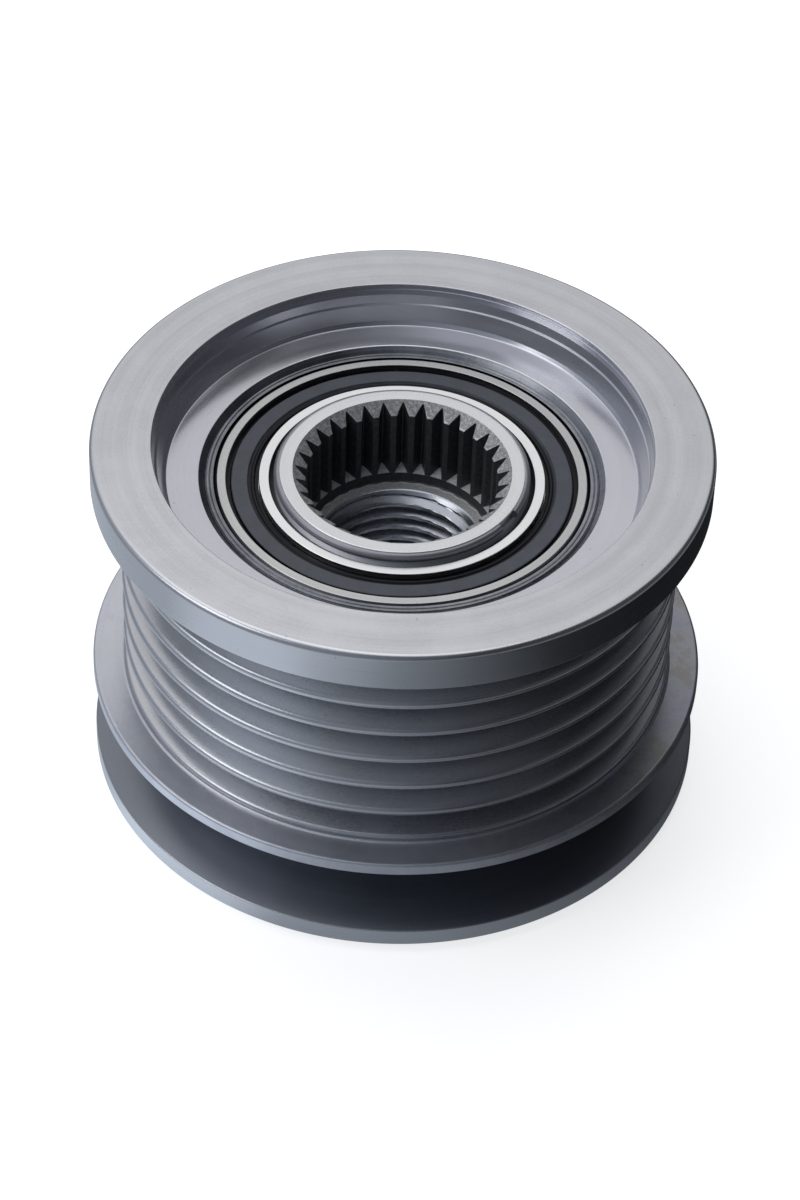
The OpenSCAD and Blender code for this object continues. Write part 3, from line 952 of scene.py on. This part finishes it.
def thread_radius(a, z):
    """Radius of the right-hand thread's wall in direction a at height z."""
    phase = ((z + thread_shift) / thread_pitch - a / tau) % 1
    off = abs(phase - 0.5) * 2
    share = min(max((off - thread_crest) / (thread_root - thread_crest), 0), 1)
    return thread_minor_r + (thread_major_r - thread_minor_r) * share


def column_angles():
    """Directions of the hub's columns: each tooth's corners, and points between them."""
    own = [-root_half, 0, root_half]
    flank = [root_half + (tip_start - root_half) * s for s in (1 / 3, 2 / 3, 1)]
    own += flank + [tooth_pitch / 2] + [tooth_pitch - a for a in reversed(flank)]
    return [spline_turn + i * tooth_pitch + a for i in range(spline_teeth) for a in own]


def mouth_foot(a):
    """Height at which the mouth's bevel meets the socket's wall in direction a."""
    return nose_z - (spline_mouth_r - spline_radius(a)) / mouth_slope


def mouth_radius(z):
    """Radius of the mouth's bevel at height z."""
    return spline_mouth_r - (nose_z - z) * mouth_slope


def mouth_height(share, top):
    """Height of a row of the mouth's bevel, a share of the way from its foot to its top."""
    return lambda a: mouth_foot(a) + (top - mouth_foot(a)) * share


def mouth_wall(share):
    """Radius of the same row."""
    height = mouth_height(share, nose_z)
    return lambda a: mouth_radius(height(a))


def gap_floor_height(a):
    """Height at which the sloped floor between the teeth meets the wall in direction a."""
    return spline_z - gap_floor_drop * (spline_root_r - spline_radius(a)) / (spline_root_r - relief_r)


def gap_floor_kind(a):
    """The sloped floors lie between the teeth only. Below the tips the bore runs straight on."""
    # Below the tips the bore gets the dark spline finish, which is painted shade.
    return "ledge" if spline_radius(a) > spline_tip_r + 0.02 else "rough"


def waved(radius):
    """A radius that the broach left wavy, one wave for each tooth."""
    return lambda a: radius + ledge_wave * sin(spline_teeth * a)


def hub_rows():
    """Rows round the hub: its face, its outside, its foot, and back up the bore. Each row has a finish."""
    angles = column_angles()
    rows = []
    kinds = []

    def add(kind, height, radius):
        rows.append([(radius(a) * cos(a), radius(a) * sin(a), height(a)) for a in angles])
        kinds.append(kind)

    def fixed(value):
        return lambda a: value

    outside = [
        (spline_mouth_r + 0.02, nose_z),
        (nose_r, nose_z, nose_bevel),
        (nose_r, front_face_z + wire_r + wire_shoulder, 0.05),
    ]
    outside += arc((wire_orbit_r, front_face_z + wire_r), wire_r + wire_gap, 97, 263, 12)
    outside += [
        (bore_r, front_face_z - ring_bevel, 0.1),
        (bore_r, rear_bearing_z),
        (collar_r, rear_bearing_z, 0.2),
        (collar_r, 0, collar_bevel),
        (pilot_r, 0, pilot_bevel),
        (pilot_r, pilot_len, 0.1),
        (thread_minor_r + thread_foot, pilot_len + 0.35),
    ]
    for r, z in rounded(outside, closed=False):
        beside_wire = r > bore_r - 1 and front_face_z - 1 < z < nose_z - nose_bevel
        add("flank" if beside_wire else "turned", fixed(z), fixed(r))
    z = pilot_len + thread_foot
    while z < lead_in_z + 1.0:
        cone = thread_minor_r + max(z - lead_in_z, 0)
        add("thread", fixed(z), lambda a, z=z, cone=cone: max(thread_radius(a, z), cone))
        z += thread_row if z > lead_in_z - thread_seen else 2.5 * thread_row
    add("thread", fixed(relief_z - 0.06), fixed(lead_in_r - 0.04))
    add("ledge", fixed(relief_z), fixed(lead_in_r + 0.06))
    add("ledge", fixed(relief_z), waved(relief_r - ledge_lip))
    add("rough", fixed(relief_z + ledge_h / 2), waved(relief_r - ledge_lip + 0.12))
    add("rough", fixed(relief_z + ledge_h), fixed(relief_r))
    add(gap_floor_kind, fixed(spline_z - gap_floor_drop), fixed(relief_r))
    add("rough", gap_floor_height, lambda a: spline_radius(a) - 0.02)
    add("rough", fixed(spline_z + 0.1), spline_radius)
    add("rough", fixed((spline_z + nose_z) / 2), spline_radius)
    # Painted highlight: a thin strip of near-white burr steel where the bevel meets the socket wall.
    add("burr", lambda a: mouth_foot(a) - burr_highlight_w / 3, spline_radius)
    add("burr", mouth_foot, lambda a: spline_radius(a) + 0.03)
    for k in range(mouth_rows + 1):
        share = burr_highlight_w + (1 - burr_highlight_w) * k / mouth_rows
        add("bare", mouth_height(share, nose_z - 0.001), mouth_wall(share))
    return rows, kinds, angles


HUB_FINISHES = {
    "turned": mat_nose,
    "thread": mat_thread,
    # Painted shade inside the socket.
    "rough": mat_spline_shade,
    "bare": mat_bare,
    "ledge": mat_ledge,
    "flank": mat_flank,
    # Painted highlight strip at the foot of the mouth's bevel.
    "burr": mat_burr_highlight,
}


def make_hub():
    """The hub, with each face painted as its row says."""
    rows, kinds, angles = hub_rows()
    columns = len(angles)
    hub = woven("hub_body", rows, columns, hub_sharp_edge)
    finishes = list(HUB_FINISHES)
    for face in hub.data.polygons:
        kind = kinds[face.index // columns]
        if callable(kind):
            first = face.index % columns
            last = (first + 1) % columns
            kind = kind((angles[first] + angles[last] + (tau if last == 0 else 0)) / 2)
        face.material_index = finishes.index(kind)
    face_outwards(hub)
    return hub


hub = make_hub()
finish_piece(hub, "hub_set", "hub_steel", HUB_FINISHES, "hub")


def make_snap_ring():
    """The wire ring, open at one place, with flat ends."""
    start = snap_ring_turn + snap_ring_opening / 2
    sweep = tau - snap_ring_opening
    z = front_face_z + wire_r
    verts = []
    for k in range(wire_along + 1):
        a = start + sweep * k / wire_along
        for j in range(wire_around):
            b = tau * j / wire_around
            r = wire_orbit_r + wire_r * cos(b)
            verts.append((r * cos(a), r * sin(a), z + wire_r * sin(b)))
    faces = []
    for k in range(wire_along):
        for j in range(wire_around):
            m = (j + 1) % wire_around
            here, there = k * wire_around, (k + 1) * wire_around
            faces.append((here + j, here + m, there + m, there + j))
    faces.append(tuple(range(wire_around - 1, -1, -1)))
    faces.append(tuple(wire_along * wire_around + j for j in range(wire_around)))
    ring = make_mesh("snap_ring_wire", verts, faces)
    face_outwards(ring)
    return ring


finish_piece(make_snap_ring(), "hub_set", "spring_steel", {"drawn": mat_wire}, "hub_snap_ring")


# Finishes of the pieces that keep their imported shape


def dress(name_part, material):
    """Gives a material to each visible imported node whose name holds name_part."""
    for name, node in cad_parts.items():
        if name_part in name and not node.hide_render:
            node.data.materials.clear()
            node.data.materials.append(material)
            node.data.polygons.foreach_set("use_smooth", [True] * len(node.data.polygons))
            node.data.set_sharp_from_angle(angle=packed_sharp_edge)


dress("_ball_", mat_ball)
dress("ball_cage", mat_cage)
dress("clutch_roller_", mat_ball)
dress("clutch_spring_", mat_wire)
dress("clutch_cage", mat_cage)
dress("clutch_sleeve", mat_hardened)
dress("clutch_cam_ring", mat_hardened)


# Floor, studio light and camera

# What steel sees of the floor, from the left to the right: place, level
FLOOR_SWEEP = ((0.0, 0.56), (0.15, 0.62), (0.36, 0.30), (0.6, 0.135), (0.8, 0.034), (1.0, 0.014))
FLOOR_TINT = (0.90, 1.0, 1.13)
FAR_FLOOR = (0.27, 0.285, 0.31, 1)
# The direction of the floor's lit patch, east and north of the pulley, and how sharp its edge is
PATCH_SIDE = (-0.73, -0.68)
PATCH_EDGE = (0.89, 0.99)
# Reaches over the floor: radius from and to in millimetres, then the level at each
FOOT_REACH = (33.0, 60.0, 1.4, 1.0)
PATCH_REACH = (85.0, 120.0, 0.5, 0.0)
FAR_REACH = (100.0, 190.0)
PALE_REACH = (40.0, 90.0, 0.72, 1.0)
# The sweep's width in millimetres and its slant, and the floor's paint, half width and height in metres
floor_sweep_w = 120
floor_sweep_slant = 0.25
FLOOR_PAINT = (0.8, 0.8, 0.8, 1)
floor_rough = 0.6
floor_half = 1.2
floor_z = -0.05 * MM
# What steel sees of the room, from the left to the right: place, colour
ROOM_SWEEP = (
    (0.0, (0.40, 0.44, 0.52, 1)),
    (0.45, (0.20, 0.225, 0.27, 1)),
    (0.68, (0.04, 0.043, 0.052, 1)),
    (1.0, (0.08, 0.084, 0.096, 1)),
)
# Lamps: name, place in metres, size in metres, watts
LAMPS = (
    ("left key", (-0.35, -0.12, 0.35), 0.25, 0.38),
    ("top fill", (-0.08, 0.1, 0.5), 0.4, 0.4),
)
lamp_gleam = 0.08
lamp_aim = Vector((0, 0, 0.02))
# The lens: what it looks at and how far off it is in millimetres, its height angle, roll and focal length
lens_target = Vector((0.22, 0, 18.57))
lens_distance = 382.0
lens_rise = radians(42.96)
lens_roll = radians(2.04)
lens_mm = 114.27
# The direction, edge and colour of the soft light behind the pulley
SKY_SIDE = (-0.16, 0.72, 0.675)
SKY_EDGE = (0.71, 0.93)
SKY_LIGHT = (0.84, 0.85, 0.872, 1)


def tinted(stops, tint):
    """Colour stops from grey levels and one tint."""
    return [(place, [level * share for share in tint] + [1]) for place, level in stops]


def floor_sweep(n, at):
    """What steel sees of the floor: light on the left, dark on the right, a lit patch, and a dim far side."""
    slant = n.math("ADD", at["East"], n.math("MULTIPLY", at["North"], floor_sweep_slant))
    along = n.math("MULTIPLY", at["Radius"], slant)
    place = n.math("ADD", n.math("MULTIPLY", along, 1 / floor_sweep_w), 0.5, clamp=True)
    sweep = n.ramp(place, tinted(FLOOR_SWEEP, FLOOR_TINT))
    near = n.span(at["Radius"], *FOOT_REACH)
    east, north = PATCH_SIDE
    ahead = n.math("ADD", n.math("MULTIPLY", at["East"], east), n.math("MULTIPLY", at["North"], north))
    patch = n.math("MULTIPLY", n.span(ahead, *PATCH_EDGE), n.span(at["Radius"], *PATCH_REACH))
    near = n.math("MULTIPLY", near, n.math("ADD", patch, 1.0))
    sweep = n.blend(1.0, sweep, n.vector(near, near, near), "MULTIPLY")
    return n.blend(n.span(at["Radius"], *FAR_REACH), sweep, FAR_FLOOR)


def mixed(n, kind, first, second, factor=None):
    """Two shaders mixed by a factor, or added."""
    node = n.add(kind)
    if factor is not None:
        n.link(factor, node.inputs[0])
    n.link(first.outputs[0], node.inputs[-2])
    n.link(second.outputs[0], node.inputs[-1])
    return node


def floor_material():
    """The lens sees the floor white, and it takes a real shadow. From below it is clear."""
    material, n, shader = new_material("pale floor", 0.0)
    shader.inputs["Base Color"].default_value = FLOOR_PAINT
    shader.inputs["Roughness"].default_value = floor_rough
    at = use(n, place_group)
    ray = n.add("ShaderNodeLightPath").outputs
    glow = n.add("ShaderNodeEmission")
    n.link(floor_sweep(n, at), glow.inputs["Color"])
    reflected = n.math("MAXIMUM", ray["Is Glossy Ray"], ray["Is Transmission Ray"])
    seen = mixed(n, "ShaderNodeMixShader", shader, glow, reflected)
    pale = n.add("ShaderNodeEmission")
    level = n.span(at["Radius"], *PALE_REACH)
    n.link(n.vector(level, level, level), pale.inputs["Color"])
    n.link(ray["Is Camera Ray"], pale.inputs["Strength"])
    above = mixed(n, "ShaderNodeAddShader", seen, pale)
    clear = n.add("ShaderNodeBsdfTransparent")
    from_below = n.add("ShaderNodeNewGeometry").outputs["Backfacing"]
    both = mixed(n, "ShaderNodeMixShader", above, clear, from_below)
    n.link(both.outputs[0], n.output.inputs["Surface"])
    return material


def stage_floor():
    """A wide flat floor, just under the pulley."""
    mesh = bpy.data.meshes.new("floor")
    corners = [(-1, -1), (1, -1), (1, 1), (-1, 1)]
    mesh.from_pydata([(x * floor_half, y * floor_half, floor_z) for x, y in corners], [], [(0, 1, 2, 3)])
    mesh.materials.append(floor_material())
    floor = bpy.data.objects.new("floor", mesh)
    bpy.context.scene.collection.objects.link(floor)


def studio_world():
    """White behind the object. Steel sees a bright sky at the back and a dim room at the front and right."""
    world = bpy.data.worlds.new("studio")
    bpy.context.scene.world = world
    world.use_nodes = True
    world.node_tree.nodes.clear()
    n = Nodes(world.node_tree)
    split = n.add("ShaderNodeSeparateXYZ")
    n.link(n.add("ShaderNodeTexCoord").outputs["Generated"], split.inputs[0])
    across = n.math("MULTIPLY_ADD", split.outputs[0], 0.5, 0.5, clamp=True)
    room = n.ramp(across, ROOM_SWEEP)
    toward = [n.math("MULTIPLY", side, share) for side, share in zip(split.outputs, SKY_SIDE)]
    toward = n.math("ADD", n.math("ADD", toward[0], toward[1]), toward[2])
    sky = n.blend(n.span(toward, *SKY_EDGE), room, SKY_LIGHT)
    light_path = n.add("ShaderNodeLightPath")
    colour = n.blend(light_path.outputs["Is Camera Ray"], sky, (1, 1, 1, 1))
    background = n.add("ShaderNodeBackground")
    n.link(colour, background.inputs["Color"])
    output = n.add("ShaderNodeOutputWorld")
    n.link(background.outputs[0], output.inputs["Surface"])


def softbox(name, place, size, watts):
    """A soft square lamp aimed at the pulley's middle."""
    lamp = bpy.data.lights.new(name, "AREA")
    lamp.size = size
    lamp.energy = watts
    lamp.specular_factor = lamp_gleam
    holder = bpy.data.objects.new(name, lamp)
    bpy.context.scene.collection.objects.link(holder)
    holder.location = place
    aim = lamp_aim - Vector(place)
    holder.rotation_euler = aim.to_track_quat("-Z", "Y").to_euler()


def studio_camera():
    """The lens stands in front, 43 degrees above the pulley, rolled two degrees."""
    reach = lens_distance * MM
    lens = bpy.data.cameras.new("lens")
    lens.lens = lens_mm
    lens.sensor_width = 36
    lens.sensor_fit = "AUTO"
    lens.clip_start = 0.01
    camera = bpy.data.objects.new("camera", lens)
    bpy.context.scene.collection.objects.link(camera)
    camera.matrix_world = (
        Matrix.Translation(lens_target * MM + Vector((0, -cos(lens_rise), sin(lens_rise))) * reach)
        @ Matrix.Rotation(pi / 2 - lens_rise, 4, "X")
        @ Matrix.Rotation(lens_roll, 4, "Z")
    )
    bpy.context.scene.camera = camera


stage_floor()
studio_world()
for lamp in LAMPS:
    softbox(*lamp)
studio_camera()
bpy.context.scene.view_settings.view_transform = "Standard"
